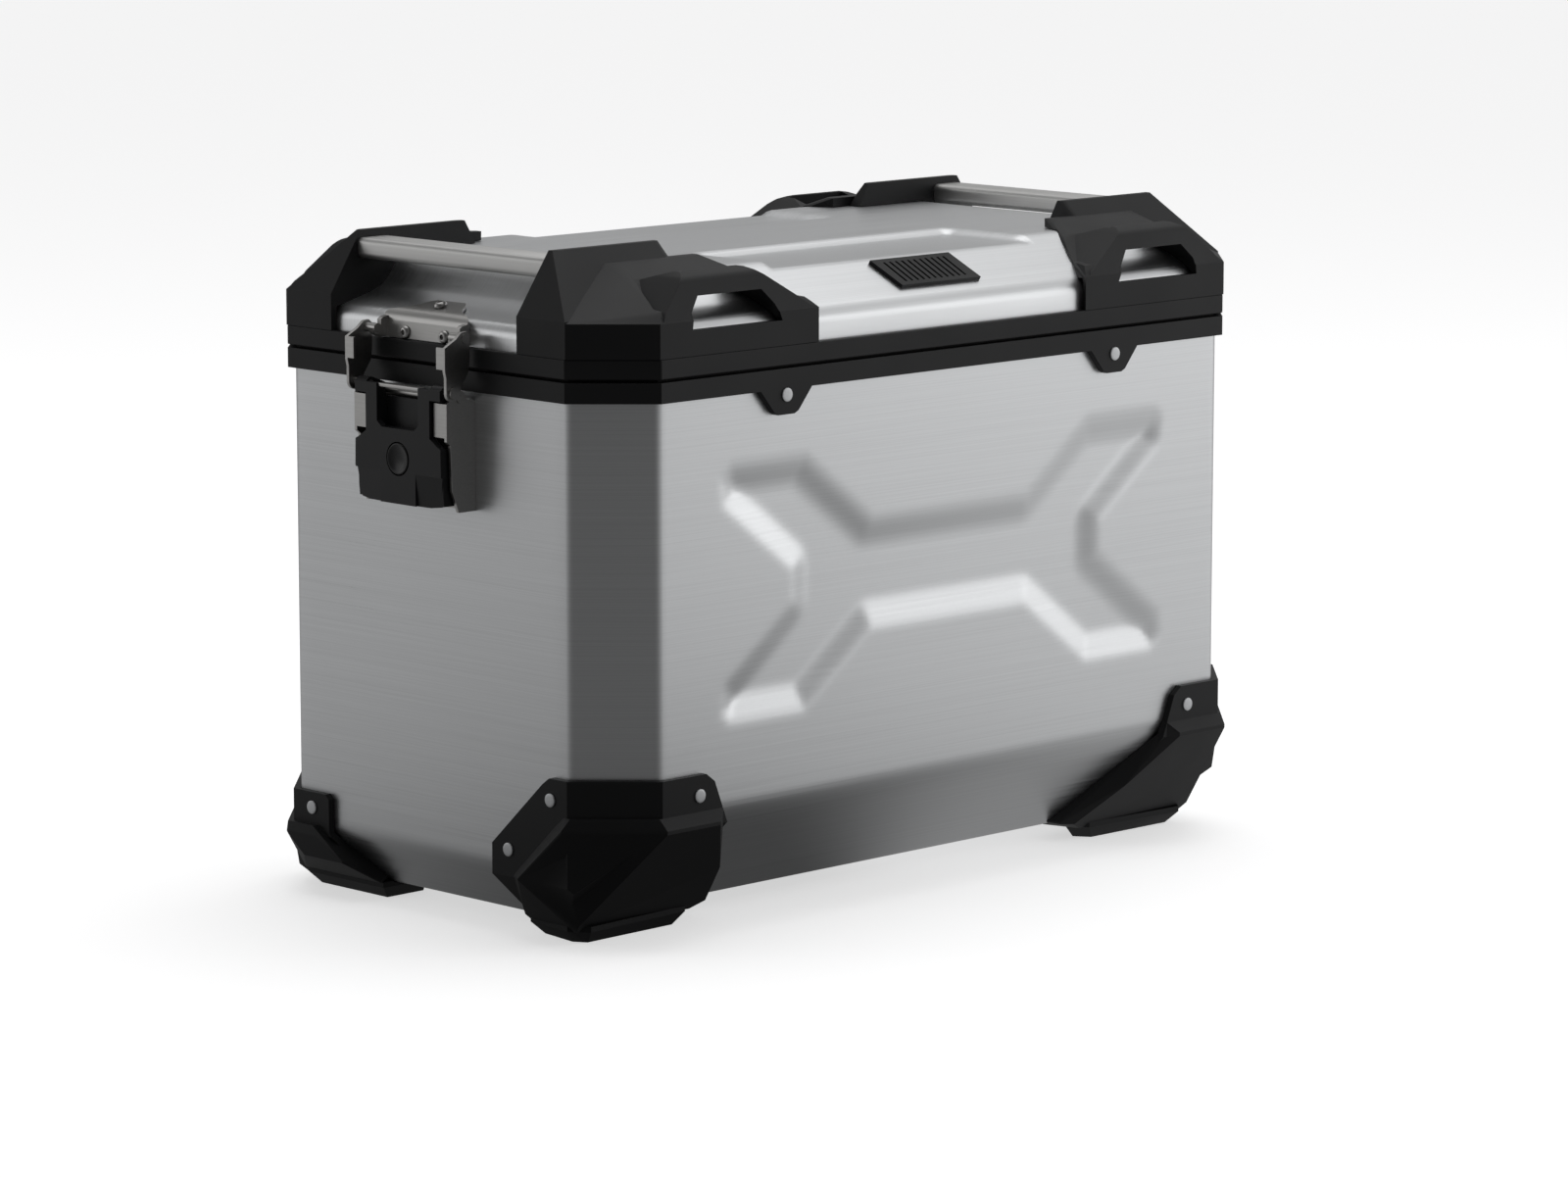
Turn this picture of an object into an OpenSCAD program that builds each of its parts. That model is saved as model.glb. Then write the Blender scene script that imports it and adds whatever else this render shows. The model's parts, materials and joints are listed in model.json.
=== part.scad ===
// Hard aluminium motorcycle luggage case of about 45 litres, with a removable hinging lid,
// an over-centre latch at each end, corner guards with feet, and lashing eyes on the lid.
// Frame: X runs along the length, the pressed X panel faces -Y, +Z is up.
// The origin is on the ground under the middle of the case.

/* [Body] */
// outside length of the sheet-metal tub
body_l = 500; // [420:1:560]
// outside width of the sheet-metal tub
body_w = 284; // [220:1:320]
// cut of each upright corner, measured along each side
corner = 33; // [15:1:50]
// sheet thickness of tub and lid
wall = 1.5; // [1:0.1:3]
// height of the underside of the tub floor above the ground
floor_z = 9; // [5:1:20]
// height of the tub's top edge
body_top = 297; // [200:1:340]
// how far the front bottom bevel runs inwards
bevel_y = 58; // [20:1:80]
// height of the upper crease of the front bevel
bevel_z = 65.5; // [30:0.5:90]
// how far the end bevels run inwards
end_bevel = 22; // [5:1:40]
// height of the upper crease of the end bevels
end_bevel_z = 36; // [20:1:60]
// size of the small back bottom bevel
back_bevel = 16; // [5:1:40]

/* [Pressed X panel] */
// depth of the panel in the front wall
x_depth = 4; // [2:0.5:6]
// height of the centre of the panel
x_zc = 183.5; // [150:0.5:220]

/* [Rims and lid] */
// how far the plastic rims stand out from the sheet metal
rim_out = 4; // [2:0.5:8]
// lower edge of the tub's rim
rim_z0 = 289.5; // [270:0.5:320]
// upper edge of the tub's rim
rim_z1 = 300.4; // [280:0.1:330]
// lower edge of the lid's rim
lid_rim_z0 = 302; // [285:0.5:335]
// upper edge of the lid's rim
lid_rim_z1 = 312.5; // [290:0.5:350]
// height of the lid's top plateau
lid_top = 352; // [320:1:380]
// height of the corner pads' ridges, which is the overall height
pad_top = 365; // [330:1:400]

/* [Handles] */
// width of the handle bar
bar_w = 22; // [14:1:30]
// thickness of the handle bar
bar_t = 11; // [8:0.5:16]
// radius of the handle bar's long edges
bar_r = 3.2; // [1:0.1:3.8]
// distance of the bar's centre from the middle of the case
bar_x = 223; // [200:1:240]

/* [Latches] */
// distance of the lever pivot from the middle of the case
piv_x = 261; // [255:0.5:270]
// height of the lever pivot
piv_z = 286; // [270:0.5:300]
// distance of the arm pivot from the middle of the case
arm_x = 268; // [260:0.5:275]
// height of the arm pivot
arm_z = 290; // [280:0.5:300]
// distance of the hook pin from the middle of the case
hook_x = 259.5; // [255:0.5:266]
// height of the hook pin, which is also the lid's hinge axis
hook_z = 318; // [316:0.5:324]
// radius of the hook pin
hook_r = 2.5; // [2:0.1:4]

/* [Carrier holes] */
// spacing of the carrier holes along the case
hole_dx = 300; // [200:5:380]
// vertical spacing of the carrier holes
hole_dz = 130; // [80:5:180]
// radius of a carrier hole
hole_r = 3.25; // [2.5:0.05:4.5]

/* [Hidden] */
$fn = 48;
e = 0.01;
L2 = body_l / 2;
W2 = body_w / 2;
run = 0.05;        // radial running clearance of the pivots
fix_r = 2.1;       // holes for rivets and screws
bar_z = 355.5;     // height of the handle bars' centre line
bar_half = 81;     // half the length of a handle bar
lock_z = 252;      // height of the lock caps
lever_pin_r = 2;
arm_pin_r = 1.8;
catch_screw_z = 316.3;
catch_screw_y = [-15.5, 15.5];
shelf_screw = [238, 0, 320];
shelf_tilt = 15.14;
// Y and Z of the guards' rivets in the end walls, X and Z of those in the long walls
front_end_holes = [[-98, 80], [-65, 49]];
back_end_holes = [[-95, 49]];
front_hole = [-192, 80.5];
back_hole = [-199, 48];
// Y and Z of the rivets that hold each latch base
base_holes = [for (y = [-20, 20], z = [236, 270]) [y, z]];

alu = [0.78, 0.79, 0.80];
blk = [0.07, 0.07, 0.075];
steel = [0.62, 0.61, 0.58];
rubber = [0.03, 0.03, 0.03];

// ---------- helpers ----------
// octagon outline, t further in than the sheet's outer face
module octagon(t = 0) {
    a = L2 - t;
    b = W2 - t;
    c = corner - 0.586 * t;
    polygon([[-a, -b + c], [-a + c, -b], [a - c, -b], [a, -b + c],
        [a, b - c], [a - c, b], [-a + c, b], [-a, b - c]]);
}
// outline in Y and Z, extruded along X
module along_x(x0, x1) {
    translate([x0, 0, 0]) rotate([90, 0, 90]) linear_extrude(x1 - x0) children();
}
// outline in X and Z, extruded along Y
module along_y(y0, y1) {
    translate([0, y1, 0]) rotate([90, 0, 0]) linear_extrude(y1 - y0) children();
}
// both ends, or both long sides
module both_x() {
    children();
    mirror([1, 0, 0]) children();
}
module both_y() {
    children();
    mirror([0, 1, 0]) children();
}
// solid of the tub, t further in than its outer face, open at height z1
module tub(t = 0, z1 = 300) {
    s = 0.414 * t;
    intersection() {
        translate([0, 0, floor_z + t]) linear_extrude(z1 - floor_z - t) octagon(t);
        along_x(-L2 - 20, L2 + 20)
            polygon([[-W2 + t, 340], [-W2 + t, bevel_z + s],
                [-W2 + bevel_y + s, floor_z + t], [W2 - back_bevel - s, floor_z + t],
                [W2 - t, floor_z + back_bevel + s], [W2 - t, 340]]);
        along_y(-W2 - 20, W2 + 20)
            polygon([[-L2 + t, 340], [-L2 + t, end_bevel_z + s],
                [-L2 + end_bevel + s, floor_z + t], [L2 - end_bevel - s, floor_z + t],
                [L2 - t, end_bevel_z + s], [L2 - t, 340]]);
    }
}
// solid of the lid, t further in than its outer face, from height z0 up
module lid_solid(t = 0, z0 = 304) {
    s = 0.5 * t;
    intersection() {
        translate([0, 0, z0]) linear_extrude(lid_top - z0 + 5) octagon(t);
        along_x(-L2 - 20, L2 + 20)
            polygon([[-W2 + t, z0 - 1], [W2 - t, z0 - 1], [W2 - t, 327.5 - s],
                [100 - s, lid_top - t], [-100 + s, lid_top - t], [-W2 + t, 327.5 - s]]);
        along_y(-W2 - 20, W2 + 20) polygon([[-L2 + t, z0 - 1], [L2 - t, z0 - 1],
            [L2 - t, 325 - s], [226 - s, 331.5 - t], [218 - t, 334.5 - s],
            [211 - t, 341 - s], [207 - t, 348 - s], [203 - t, lid_top - t],
            [-203 + t, lid_top - t], [-207 + t, 348 - s], [-211 + t, 341 - s],
            [-218 + t, 334.5 - s], [-226 + s, 331.5 - t], [-L2 + t, 325 - s]]);
    }
}
// pressed step along each long edge of the lid's plateau
module lid_step(t = 0) {
    both_y() along_y(-W2, -46 + t) polygon([[-100 - t, lid_top + 5], [-90 - t, 348 - t],
        [90 + t, 348 - t], [100 + t, lid_top + 5]]);
}
// X outline: a is the arm's tip, b the waist, in X and Z around the panel's centre
function x_quarter(o) = o
    ? [[60, 30], [110, 68.5], [166, 68.5], [173, 62], [171, 48], [120.5, 9]]
    : [[70, 16], [117, 53], [136, 53], [142, 50], [140, 45], [104, 9]];
function x_ring(o) = let (q = x_quarter(o)) concat(
    [for (p = q) [p[0], p[1]]],
    [for (i = [5:-1:0]) [q[i][0], -q[i][1]]],
    [for (p = q) [-p[0], -p[1]]],
    [for (i = [5:-1:0]) [-q[i][0], q[i][1]]]);
// recess with sloping walls, its mouth at y0 and its floor at y1
module x_recess(y0, y1) {
    outer = x_ring(true);
    inner = x_ring(false);
    polyhedron(points = concat([for (p = outer) [p[0], y0, x_zc + p[1]]],
            [for (p = inner) [p[0], y1, x_zc + p[1]]]),
        faces = concat([[for (i = [0:23]) i]], [[for (i = [23:-1:0]) 24 + i]],
            [for (i = [0:23]) [i, 24 + i, (i + 1) % 24]],
            [for (i = [0:23]) [(i + 1) % 24, 24 + i, 24 + (i + 1) % 24]]));
}
// round pin along Y
module ypin(r, y0, y1, x, z) {
    translate([x, y0, z]) rotate([-90, 0, 0]) cylinder(r = r, h = y1 - y0);
}

// ---------- tub ----------
module body_shell() {
    color(alu) difference() {
        union() {
            difference() {
                tub(0, body_top);
                tub(wall, body_top + 5);
            }
            // the pressed panel's back side
            along_y(-W2 + wall - 0.5, -W2 + x_depth + wall)
                translate([0, x_zc]) polygon(x_ring(true));
        }
        x_recess(-W2 - e, -W2 + x_depth);
        for (x = [-1, 1], z = [-1, 1])
            translate([x * hole_dx / 2, W2 - 5, x_zc + z * hole_dz / 2])
                rotate([-90, 0, 0]) cylinder(r = hole_r, h = 10);
        both_x() for (p = base_holes)
            translate([L2 - 5, p[0], p[1]]) rotate([0, 90, 0]) cylinder(r = fix_r, h = 10);
    }
}

// ---------- tub rim and its rivets ----------
tab_x = 128;
tab_z = 286.5;
module rim_tab() {
    along_y(-W2 - rim_out, -W2)
        polygon([[-19, rim_z0 + 4], [-19, rim_z0], [-9, 277.5], [-6, 276], [6, 276],
            [9, 277.5], [19, rim_z0], [19, rim_z0 + 4]]);
}
module body_rim() {
    color(blk) difference() {
        union() {
            translate([0, 0, rim_z0]) linear_extrude(rim_z1 - rim_z0) octagon(-rim_out);
            both_y() for (s = [-1, 1]) translate([s * tab_x, 0, 0]) rim_tab();
        }
        translate([0, 0, rim_z0 - 20]) linear_extrude(body_top - rim_z0 + 20) octagon(0);
        translate([0, 0, rim_z0 - 20]) linear_extrude(60) octagon(5);
        both_y() for (s = [-1, 1]) translate([s * tab_x, -W2 - rim_out - 1, tab_z])
            rotate([-90, 0, 0]) cylinder(r = fix_r, h = 10);
    }
}
module rivet(r = 3.7) {
    rotate_extrude() polygon([[0, 0], [2, 0], [2, 4.1], [r, 4.1], [r, 4.6], [r - 0.4, 4.9],
        [0, 5]]);
}
module rim_rivets() {
    color(steel) both_y() for (s = [-1, 1])
        translate([s * tab_x, -W2, tab_z]) rotate([90, 0, 0]) rivet();
}

// ---------- corner guards with feet ----------
// s = 1 for the tall front guards, 0 for the low back ones; drawn at -X, -Y
module tub_at(s, t, z1) {
    mirror([0, 1 - s, 0]) tub(t, z1);
}
module guard_wings(s) {
    top = s ? 91.5 : 57.5;
    intersection() {
        difference() {
            tub_at(s, -4, top);
            tub_at(s, 0, top + 1);
        }
        union() {
            along_x(-L2 - 5, -L2 + 28) polygon(s
                ? [[-W2 - 6, -1], [-66, -1], [-52, 34], [-52, 51], [-92, 88], [-97, 91.5],
                    [-W2 - 6, 91.5]]
                : [[-W2 - 6, -1], [-57, -1], [-81, 37], [-81, 55], [-84, 57.5],
                    [-W2 - 6, 57.5]]);
            along_y(-W2 - 5, -W2 + 2) polygon(s
                ? [[-L2 - 6, 60], [-172, 60], [-172, 64], [-181, 87], [-187, 91.5],
                    [-L2 - 6, 91.5]]
                : [[-L2 - 6, 10], [-190, 10], [-186, 34], [-190, 52], [-196, 57.5],
                    [-L2 - 6, 57.5]]);
            translate([-L2 - 6, -W2 - 6, 5]) cube([corner + 8, corner + 8, top - 5]);
        }
    }
}
module guard_bulge(s) {
    difference() {
        if (s == 1) hull() {
            // band that slopes out from the wings, then the long skirt over the bevels
            translate([0, 0, 71.5]) linear_extrude(0.5) polygon([[-254, -108],
                [-254, -113], [-221, -146], [-175, -146], [-175, -141], [-245, -108]]);
            translate([0, 0, 64]) linear_extrude(2) polygon([[-254, -101], [-258.5, -111],
                [-219.5, -150.5], [-181, -150.5], [-175, -146], [-175, -120]]);
            translate([0, 0, 35]) linear_extrude(1) polygon([[-254, -69], [-258.5, -77],
                [-160, -128], [-154, -118], [-154, -90]]);
            translate([0, 0, 11]) linear_extrude(1)
                polygon([[-238, -60], [-240, -104], [-146, -102], [-140, -96], [-140, -76]]);
            translate([0, 0, 7]) linear_extrude(1)
                polygon([[-234, -62], [-238, -100], [-154, -98], [-148, -76]]);
        }
        if (s == 0) hull() {
            translate([0, 0, 38]) linear_extrude(2) polygon([[-258, -90], [-258, -111],
                [-219, -150], [-192, -150], [-200, -90]]);
            translate([0, 0, 34]) linear_extrude(1) polygon([[-258.5, -88],
                [-258.5, -111.5], [-219.5, -150.5], [-190, -150.5]]);
            translate([0, 0, 22]) linear_extrude(1)
                polygon([[-256, -68], [-256, -100], [-200, -68]]);
            translate([0, 0, 10]) linear_extrude(1) polygon([[-238, -57], [-238, -120],
                [-224, -134], [-190, -134], [-186, -80]]);
        }
        tub_at(s, 0, 200);
    }
}
module guard_foot(s) {
    hull() {
        translate([0, 0, 7]) linear_extrude(3) polygon(s
            ? [[-236, -62], [-240, -95], [-232, -105], [-160, -101], [-152, -90],
                [-205, -60]]
            : [[-236, -57], [-236, -120], [-224, -132], [-184, -132], [-180, -90],
                [-205, -57]]);
        linear_extrude(1) polygon(s
            ? [[-229, -66], [-232.5, -91], [-228, -98], [-166, -97], [-160, -88],
                [-203, -66]]
            : [[-229, -62], [-229, -117], [-220, -127], [-188, -127], [-184, -94],
                [-203, -62]]);
    }
}
module guard(s) {
    holes = s ? front_end_holes : back_end_holes;
    wall_hole = s ? front_hole : back_hole;
    color(blk) difference() {
        union() {
            guard_wings(s);
            guard_bulge(s);
            difference() {
                guard_foot(s);
                tub_at(s, 0, 200);
            }
        }
        for (h = holes)
            translate([-L2 - 10, h[0], h[1]]) rotate([0, 90, 0]) cylinder(r = fix_r, h = 12);
        translate([wall_hole[0], -W2 - 10, wall_hole[1]]) rotate([-90, 0, 0]) cylinder(r = fix_r, h = 12);
    }
}
module guard_fl() { guard(1); }
module guard_fr() { mirror([1, 0, 0]) guard(1); }
module guard_rl() { mirror([0, 1, 0]) guard(0); }
module guard_rr() { mirror([1, 0, 0]) mirror([0, 1, 0]) guard(0); }
module guard_rivets() {
    color(steel) both_x() {
        for (h = front_end_holes)
            translate([-L2, h[0], h[1]]) rotate([0, -90, 0]) rivet();
        for (h = back_end_holes)
            translate([-L2, -h[0], h[1]]) rotate([0, -90, 0]) rivet();
        translate([front_hole[0], -W2, front_hole[1]]) rotate([90, 0, 0]) rivet();
        translate([back_hole[0], W2, back_hole[1]]) rotate([-90, 0, 0]) rivet();
    }
}

// ---------- latch, drawn at the +X end ----------
module base_side() {
    // side cheek with the pivot ear
    difference() {
        along_y(35, 37) union() {
            polygon([[L2 + 1, 226], [262, 226], [266.5, 238], [267.5, 262], [270, 264],
                [270, 284], [266, 287], [265.5, 286], [256.5, 286], [L2 + 1, 284]]);
            translate([piv_x, piv_z]) circle(4.5);
        }
        ypin(lever_pin_r + run, 30, 40, piv_x, piv_z);
    }
    // inward flange beside the lever's neck
    translate([268.5, 26.5, 266]) cube([1.5, 9.5, 18]);
}
module latch_base() {
    color(steel) difference() {
        union() {
            translate([L2, -37, 226]) cube([2, 74, 58]);
            both_y() base_side();
        }
        for (p = base_holes)
            translate([L2 - 1, p[0], p[1]]) rotate([0, 90, 0]) cylinder(r = fix_r, h = 5);
    }
}
module base_rivets() {
    color(steel) both_x() for (p = base_holes)
        translate([L2 - 2.5, p[0], p[1]]) rotate([0, 90, 0])
            rotate_extrude() polygon([[0, 0], [4, 0], [4, 1], [2, 1], [2, 4.5], [4, 4.5],
                [3, 5.7], [0, 6]]);
}
module lever_pin() {
    color(steel) ypin(lever_pin_r, -37.6, 37.6, piv_x, piv_z);
}
// an outline with its mirror image in its first or its second coordinate
function mirrored(q, first = true) = concat(q, [for (i = [len(q) - 1:-1:0])
    first ? [-q[i][0], q[i][1]] : [q[i][0], -q[i][1]]]);
module lever_ear() {
    along_y(25.5, 34) hull() {
        translate([piv_x, piv_z]) circle(4.4, $fn = 32);
        translate([arm_x, arm_z - 0.4]) circle(3.5, $fn = 32);
        translate([270.8, 286.2]) circle(1, $fn = 16);
    }
}
module lever() {
    color(blk) difference() {
        union() {
            // face: shoulders, neck with the finger window, wide lower part
            translate([268.2, 0, 0]) rotate([90, 0, 90]) linear_extrude(3.8) difference() {
                polygon(mirrored([[34, 291], [34, 285.2], [25.5, 285.2], [25.5, 265],
                    [31, 261.5], [34, 260], [34.3, 246], [31.5, 229], [24, 228]]));
                polygon(mirrored([[16.5, 295], [16.5, 271], [13, 268]]));
            }
            both_y() {
                // side walls of the lower part
                along_y(31, 33.8) polygon([[256, 258], [256, 246], [260, 229.5],
                    [270, 229.5], [270, 259.5], [268, 259.8]]);
                // walls beside the window
                along_y(16.5, 19) polygon([[263, 267], [270, 266], [270, 288], [266, 288]]);
                // web that ties the pivot ears to the face
                along_y(16.5, 30) polygon([[265.5, 286.5], [270, 286.5], [270, 290.5],
                    [266.5, 290.5]]);
                lever_ear();
            }
            // floor and back wall of the window
            translate([262.5, -17, 265.5]) cube([7, 34, 2.2]);
            translate([262.5, -17, 265.5]) cube([1.5, 34, 18]);
            // seat of the lock cap
            translate([261, 0, lock_z]) rotate([0, 90, 0]) cylinder(r = 11.2, h = 8);
        }
        translate([250, 0, lock_z]) rotate([0, 90, 0]) cylinder(r = 9.1, h = 30);
        // facets that slope back at the lower corners
        both_y() translate([272, 14, 245]) rotate([0, 5, 3.5])
            translate([0, 0, -30]) cube([6, 30, 30]);
        ypin(arm_pin_r, -45, 45, arm_x, arm_z);
        ypin(lever_pin_r + run, -45, 45, piv_x, piv_z);
    }
}
module lever_strap() {
    color(steel) translate([266.5, -16.3, 289]) cube([4.5, 32.6, 2]);
}
module lock_cap() {
    color(blk) translate([260, 0, lock_z]) rotate([0, 90, 0])
        rotate_extrude() polygon([[0, 1], [9, 1], [9, 11.6], [8.2, 12.3], [0, 12.9]]);
}
module arm_pins() {
    color(steel) both_y() {
        ypin(arm_pin_r, 25.6, 40.2, arm_x, arm_z);
        ypin(3.2, 40.2, 41.7, arm_x, arm_z);
    }
}
module arm(s) {
    color(steel) mirror([0, s, 0]) difference() {
        union() {
            along_y(38, 40) union() {
                translate([arm_x, arm_z]) circle(4.6);
                polygon([[263.4, 290], [261.5, 294], [257.2, 300], [256.2, 306],
                    [256.2, hook_z + 2], [258, hook_z + 3.8], [262, hook_z + 3.4],
                    [266, hook_z], [273.5, 314], [273.5, 302], [272.6, 298],
                    [272.6, 290]]);
            }
            // small front flange
            translate([272, 33, 302.5]) cube([1.5, 7, 11.5]);
        }
        ypin(arm_pin_r + run, 30, 45, arm_x, arm_z);
        ypin(hook_r, 30, 45, hook_x, hook_z);
    }
}
module hook_pin() {
    color(steel) both_y() ypin(hook_r, 29.6, 40.6, hook_x, hook_z);
}
// catch plate on the lid: shelf flange, end flange and two open seats for the hook pins
module catch_ear() {
    along_y(30, 33) difference() {
        polygon([[L2 + 0.2, 313], [257.5, 313], [262.2, 315.4], [262.6, 316.6],
            [258, 321.5], [255, 323.6], [251.8, 324.2], [L2 + 0.2, 323.5]]);
        translate([hook_x, hook_z]) circle(hook_r + 0.3);
        polygon([[hook_x - hook_r - 0.3, hook_z], [hook_x - hook_r - 0.3, hook_z + 12],
            [hook_x + 12, hook_z + 12], [hook_x + 12, hook_z - 1.2],
            [hook_x + 2.4, hook_z - 1.4], [hook_x, hook_z]]);
    }
}
module catch() {
    color(steel) difference() {
        union() {
            translate([L2 + 0.2, -33, 313]) cube([1.8, 66, 9]);
            // flange on the shelf, narrowing towards its screw
            intersection() {
                along_y(-33, 33) polygon([[L2 + 0.2, 321], [L2 + 2, 321], [L2 + 1.8, 323.4],
                    [L2 + 0.9, 325.6], [L2 - 1, 327.4], [L2 - 4, 328.6], [233, 332.3],
                    [232.6, 330.6], [L2, 325.9], [L2 + 0.2, 325]]);
                translate([0, 0, 310]) linear_extrude(30)
                    polygon(mirrored([[232, 10], [235.5, 14], [243, 19], [249, 31],
                        [250.4, 33], [253, 33]], false));
            }
            both_y() catch_ear();
        }
        for (y = catch_screw_y) translate([L2 - 1, y, catch_screw_z]) rotate([0, 90, 0])
            cylinder(r = fix_r, h = 6);
        translate(shelf_screw) rotate([0, shelf_tilt, 0]) cylinder(r = fix_r, h = 20);
    }
}
module button_head() {
    rotate_extrude() polygon([[0, -3.5], [2, -3.5], [2, 0], [3.6, 0], [3.5, 0.8], [2.4, 2],
        [1.3, 2.2], [1.3, 0.9], [0, 0.9]]);
}
module catch_screws() {
    color(steel) both_x() {
        for (y = catch_screw_y)
            translate([L2 + 2, y, catch_screw_z]) rotate([0, 90, 0]) button_head();
        // top screw through the shelf
        translate(shelf_screw) rotate([0, shelf_tilt, 0]) translate([0, 0, 11.25]) button_head();
    }
}

// ---------- lid ----------
// screws that hold each corner pad: X, Y and the height of the sheet there
pad_holes = [[-236, -98, 328.8], [-188, -80, lid_top]];
module lid_shell() {
    color(alu) difference() {
        difference() {
            lid_solid(0, 304);
            lid_step(0);
        }
        difference() {
            lid_solid(wall, 300);
            lid_step(wall);
        }
        both_x() {
            for (y = catch_screw_y) translate([L2 - 3, y, catch_screw_z])
                rotate([0, 90, 0]) cylinder(r = fix_r, h = 6);
            translate(shelf_screw) rotate([0, shelf_tilt, 0]) cylinder(r = fix_r, h = 20);
            both_y() for (p = pad_holes)
                translate([p[0], p[1], p[2] - 6]) cylinder(r = 2.6, h = 10);
        }
    }
}
module lid_rim() {
    color(blk) difference() {
        translate([0, 0, lid_rim_z0]) linear_extrude(lid_rim_z1 - lid_rim_z0)
            octagon(-rim_out);
        translate([0, 0, 304]) linear_extrude(20) octagon(0);
        translate([0, 0, 300]) linear_extrude(20) octagon(7);
        translate([0, 0, 300]) linear_extrude(3.4) difference() {
            octagon(1);
            octagon(5);
        }
    }
}
module lid_seal() {
    color(rubber) translate([0, 0, 300.5]) linear_extrude(2.9) difference() {
        octagon(1);
        octagon(5);
    }
}
// direction of the lid's long slope
slope_a = atan2(lid_top - 327.5, W2 - 100);
module badge() {
    color(blk) translate([0, -121, 327.5 + 21 * tan(slope_a)]) rotate([slope_a, 0, 0])
        difference() {
            linear_extrude(2.2) polygon([[-31, 12], [30, 12], [34, -12], [-27, -12]]);
            for (i = [-5:5]) translate([i * 4.6, 0, 1.4]) linear_extrude(2)
                polygon([[-1, 9], [0.6, 9], [2.6, -9], [1, -9]]);
        }
}
// corner pad with its lashing eye, drawn at -X, -Y
module pad_ridge() {
    hull() {
        translate([0, 0, lid_rim_z1]) linear_extrude(332 - lid_rim_z1)
            polygon([[-254, -74], [-254, -111.3], [-160, -113], [-138, -90], [-138, -74]]);
        translate([0, 0, pad_top - 1]) linear_extrude(1)
            polygon([[-232, -75], [-232, -78], [-229, -79.5], [-160, -79.5], [-157, -78],
                [-157, -75]]);
    }
}
// wedge in front of the ridge, with its bevelled band and chamfered corner
module pad_wedge() {
    difference() {
        hull() {
            translate([0, 0, lid_rim_z1]) linear_extrude(331 - lid_rim_z1)
                polygon([[-254, -100], [-254, -W2 + corner - 2.3],
                    [-L2 + corner - 2.3, -146], [-104, -146], [-138, -84]]);
            translate([0, 0, 336]) linear_extrude(0.5)
                polygon([[-215, -140.5], [-109, -140.5], [-124, -112], [-215, -112]]);
            translate([0, 0, 356]) linear_extrude(1) polygon([[-204, -89], [-196, -91.5],
                [-141, -91.5], [-137, -88], [-137, -84], [-204, -84]]);
        }
        // hollow on both sides of the eye
        intersection() {
            along_x(-230, -90) polygon([[-150, 331.5], [-146.2, 331.5], [-140, 336.5],
                [-127, 337.8], [-112, 347], [-106, 351.5], [-106, 365], [-150, 365]]);
            translate([0, 0, 320]) linear_extrude(50)
                polygon([[-221, -150], [-202, -106], [-90, -106], [-90, -150]]);
        }
    }
}
// arch of the lashing eye, its front leaning back
module pad_eye() {
    intersection() {
        along_y(-146, -104) polygon([[-217, 330], [-213, 336.5], [-196, 352], [-191, 354.6],
            [-187, 355.2], [-149, 355.2], [-145, 354.6], [-140, 352], [-115, 336.5],
            [-106, 330]]);
        along_x(-240, -100) polygon([[-146, 330], [-138.5, 350], [-135.5, 353],
            [-129, 355.2], [-125, 354.5], [-106, 349], [-104, 330]]);
    }
}
module pad() {
    color(blk) difference() {
        union() {
            pad_ridge();
            pad_wedge();
            pad_eye();
        }
        lid_solid(0, 300);
        // lashing window under the bar of the eye
        along_y(-150, -112) polygon([[-196, 326], [-131, 326], [-135, 335], [-142, 343],
            [-188, 343], [-195, 335]]);
        // slot behind the bar
        along_y(-127, -111) polygon([[-187, 342], [-144, 342], [-144, 370],
            [-187, 370]]);
        // socket of the handle bar
        translate([-bar_x, -bar_half - 0.2, bar_z]) bar_cut(10, 0.2);
        for (p = pad_holes)
            translate([p[0], p[1], p[2] - 6]) cylinder(r = 2.05, h = 14.5);
    }
}
// bar section with rounded corners along +Y, c larger all round
module bar_cut(h, c) {
    a = bar_w / 2 - bar_r;
    b = bar_t / 2 - bar_r;
    r = bar_r + c;
    rotate([-90, 0, 0]) {
        for (x = [-a, a], z = [-b, b]) translate([x, z, 0]) cylinder(r = r, h = h);
        translate([-a, -b - r, 0]) cube([2 * a, 2 * (b + r), h]);
        translate([-a - r, -b, 0]) cube([2 * (a + r), 2 * b, h]);
    }
}
module pad_fl() { pad(); }
module pad_fr() { mirror([1, 0, 0]) pad(); }
module pad_rl() { mirror([0, 1, 0]) pad(); }
module pad_rr() { mirror([1, 0, 0]) mirror([0, 1, 0]) pad(); }
module pad_screws() {
    color(steel) both_x() both_y() for (p = pad_holes) {
        translate([p[0], p[1], p[2] - 5.6]) cylinder(r = 4.2, h = 2.4);
        translate([p[0], p[1], p[2] - 4]) cylinder(r = 2, h = 12);
    }
}
module handle() {
    color(alu) translate([-bar_x, -bar_half, bar_z]) bar_cut(2 * bar_half, 0);
}
module handle_l() { handle(); }
module handle_r() { mirror([1, 0, 0]) handle(); }

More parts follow.
